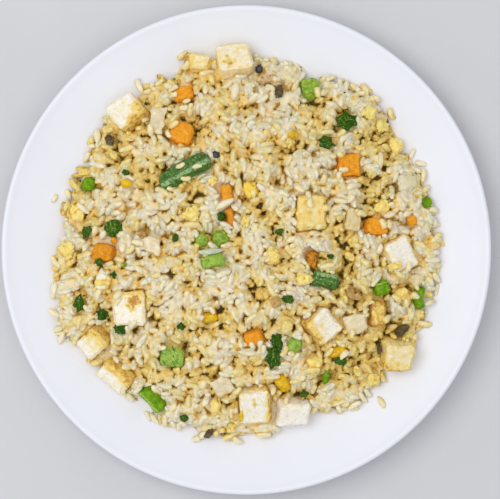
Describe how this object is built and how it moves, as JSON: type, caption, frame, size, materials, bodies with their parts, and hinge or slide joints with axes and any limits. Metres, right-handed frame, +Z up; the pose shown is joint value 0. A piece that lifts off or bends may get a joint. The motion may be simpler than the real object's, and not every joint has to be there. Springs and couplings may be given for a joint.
{
  "type": "fried rice plate",
  "caption": "Round white coupe plate holding a low heap of fried rice with tofu, vegetables and egg, standing on its foot ring.",
  "frame": {"origin": "under the plate's centre, on the surface that the foot ring stands on", "axes": "+Z up; +X to the right and +Y away from the viewer as the plate is looked down on"},
  "size_m": [0.27, 0.27, 0.0432],
  "materials": {
    "plate": "glossy white glaze",
    "rice": "cooked rice, moist and slightly oily",
    "tofu": "white tofu with a fried golden skin",
    "carrot": "moist cooked carrot",
    "corn": "moist corn kernel",
    "onion": "translucent cooked onion",
    "chunk": "cooked green vegetable",
    "egg": "scrambled egg",
    "pea": "cooked pea",
    "bean": "cooked green bean",
    "scallion": "cooked spring onion",
    "leaf": "wilted green leaf",
    "mushroom": "cooked mushroom slice"
  },
  "bodies": {
    "root": {"bean_1": "bean", "bean_2": "bean", "bean_3": "bean", "bean_4": "bean", "carrot_1": "carrot", "carrot_2": "carrot", "carrot_3": "carrot", "carrot_4": "carrot", "carrot_5": "carrot", "carrot_6": "carrot", "carrot_7": "carrot", "carrot_8": "carrot", "carrot_9": "carrot", "chunk_1": "chunk", "chunk_2": "chunk", "corn_1": "corn", "corn_2": "corn", "corn_3": "corn", "egg_1": "egg", "egg_2": "egg", "egg_3": "egg", "egg_4": "egg", "egg_5": "egg", "egg_6": "egg", "egg_7": "egg", "leaf_1": "leaf", "leaf_2": "leaf", "leaf_3": "leaf", "leaf_4": "leaf", "leaf_5": "leaf", "mushroom_1": "mushroom", "mushroom_2": "mushroom", "mushroom_3": "mushroom", "onion_1": "onion", "onion_2": "onion", "onion_3": "onion", "onion_4": "onion", "onion_5": "onion", "pea_1": "pea", "pea_2": "pea", "pea_3": "pea", "pea_4": "pea", "plate": "plate", "rice": "rice", "scallion_1": "scallion", "scallion_2": "scallion", "scallion_3": "scallion", "tofu_1": "tofu", "tofu_10": "tofu", "tofu_11": "tofu", "tofu_12": "tofu", "tofu_13": "tofu", "tofu_2": "tofu", "tofu_3": "tofu", "tofu_4": "tofu", "tofu_5": "tofu", "tofu_6": "tofu", "tofu_7": "tofu", "tofu_8": "tofu", "tofu_9": "tofu"}
  },
  "joints": []
}
